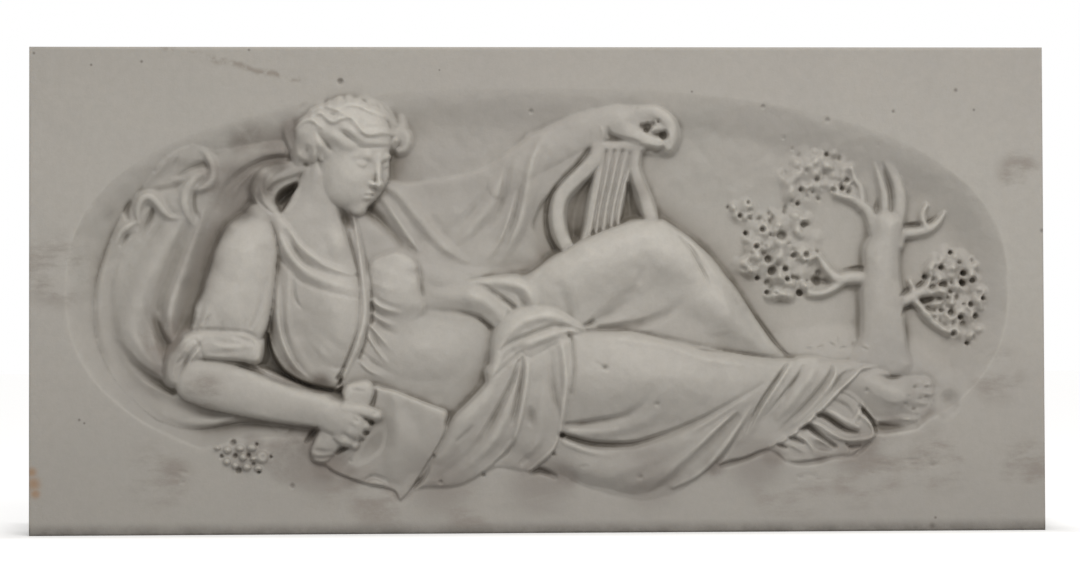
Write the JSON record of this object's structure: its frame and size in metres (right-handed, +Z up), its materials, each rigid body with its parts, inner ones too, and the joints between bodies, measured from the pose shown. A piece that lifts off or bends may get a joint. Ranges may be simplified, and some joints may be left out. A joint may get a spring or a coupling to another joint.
{
  "type": "wall plaque",
  "caption": "Marble wall plaque carved in relief with a reclining muse holding a lyre and a scroll, beside a tree, in a sunk oval field.",
  "frame": {"origin": "centre of the flat back face, which lies against the wall", "axes": "+Y into the wall, the carved front faces -Y, +Z up, +X to the viewer's right"},
  "size_m": [0.61, 0.068, 0.292],
  "materials": {
    "marble": "rubbed, aged"
  },
  "bodies": {
    "root": {"marble_plaque": "marble"}
  },
  "joints": []
}
